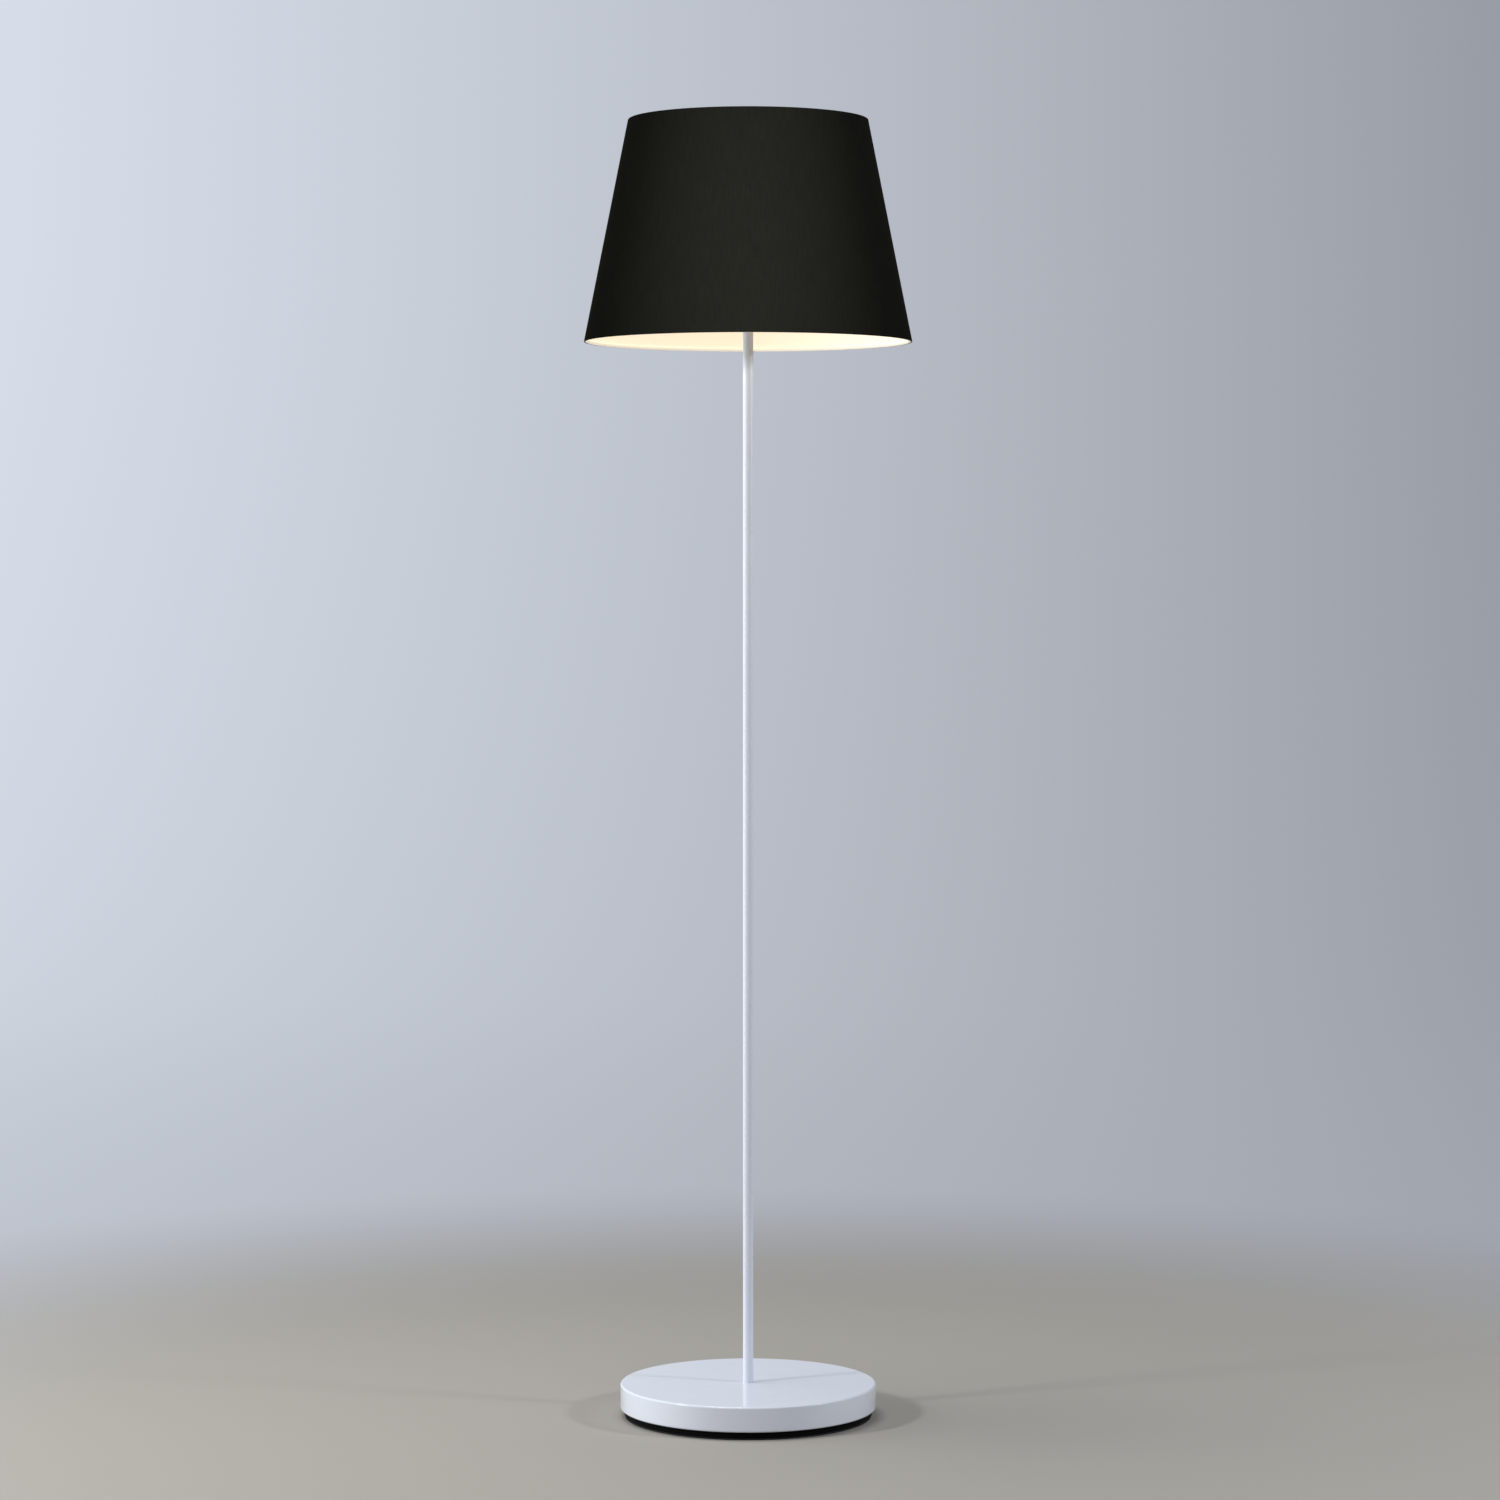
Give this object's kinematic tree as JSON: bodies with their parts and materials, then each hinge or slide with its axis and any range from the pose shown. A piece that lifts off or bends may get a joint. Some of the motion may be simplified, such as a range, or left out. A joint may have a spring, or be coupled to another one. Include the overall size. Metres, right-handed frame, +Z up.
{
  "type": "floor lamp",
  "caption": "Floor lamp: flat weighted round base, slim straight stem, lampholder with LED bulb, and a tapered drum shade clamped by a ring on a dropped wire fitter.",
  "frame": {"origin": "on the floor, on the axis of the stem", "axes": "+Z up along the stem, +Y to the rear where the cable leaves the base, +X to the right seen from the front"},
  "size_m": [0.3818, 0.3818, 1.513],
  "materials": {
    "white_steel": "satin powder coat",
    "zinc_steel": "zinc plated",
    "spring_steel": "plain spring steel",
    "concrete": "cast concrete",
    "brass": "machined",
    "black_plastic": "moulded, fine grain",
    "black_foam": "closed-cell foam",
    "white_plastic": "moulded, satin",
    "contact_block": "unglazed porcelain",
    "black_cotton": "fine plain weave",
    "warm_white_lining": "smooth, faintly translucent",
    "white_tape": "cotton binding",
    "nickel": "nickel plated",
    "black_insulator": "moulded",
    "solder": "tinned",
    "opal": "opal",
    "aluminium": "pressed",
    "board": "white solder mask",
    "driver": "green solder mask"
  },
  "bodies": {
    "stand": {"foot_pad": "black_foam", "bottom_tray": "black_plastic", "tray_screws": "zinc_steel", "base_weight": "concrete", "weight_inserts": "brass", "base_shell": "white_steel", "cable_bush": "black_plastic", "base_nipple": "zinc_steel", "base_washer": "zinc_steel", "base_lock_washer": "spring_steel", "base_nut": "zinc_steel", "stem_section_1": "white_steel", "stem_section_2": "white_steel", "stem_section_3": "white_steel", "stem_section_4": "white_steel", "stem_nipple_1": "zinc_steel", "stem_nipple_2": "zinc_steel", "stem_nipple_3": "zinc_steel", "holder_nipple": "zinc_steel", "holder_cap": "white_plastic", "holder_grub_screw": "zinc_steel", "holder_insert": "contact_block", "holder_screw_shell": "brass", "holder_centre_contact": "brass", "holder_terminals": "brass", "terminal_screws": "zinc_steel", "holder_skirt": "white_plastic"},
    "ring": {"shade_ring": "white_plastic"},
    "shade": {"shade_fitter": "white_steel", "shade_arms": "white_steel", "shade_top_ring": "white_steel", "shade_bottom_ring": "white_steel", "shade_liner": "warm_white_lining", "shade_fabric": "black_cotton", "shade_top_tape": "white_tape", "shade_bottom_tape": "white_tape"},
    "bulb_tip": {"bulb_contact": "solder"},
    "bulb": {"bulb_insulator": "black_insulator", "bulb_cap": "nickel", "bulb_housing": "white_plastic", "bulb_heat_spreader": "aluminium", "bulb_led_board": "board", "bulb_driver_board": "driver", "bulb_globe": "opal"}
  },
  "joints": [
    {"name": "shade_turn", "type": "hinge", "parent": "stand", "child": "shade", "pos_m": [0, 0, 1.401], "axis": [0, 0, 1], "continuous": true},
    {"name": "ring_turn", "type": "hinge", "parent": "stand", "child": "ring", "pos_m": [0, 0, 1.401], "axis": [0, 0, 1], "range_deg": [0, 540]},
    {"name": "bulb_rise", "type": "slide", "parent": "stand", "child": "bulb_tip", "axis": [0, 0, 1], "range_m": [0, 0.02]},
    {"name": "bulb_turn", "type": "hinge", "parent": "bulb_tip", "child": "bulb", "pos_m": [0, 0, 1.4], "axis": [0, 0, 1], "range_deg": [0, 1980]}
  ],
  "couplings": [
    {"joint": "bulb_rise", "follows": "bulb_turn", "m_per_rad": 0.00057757}
  ]
}
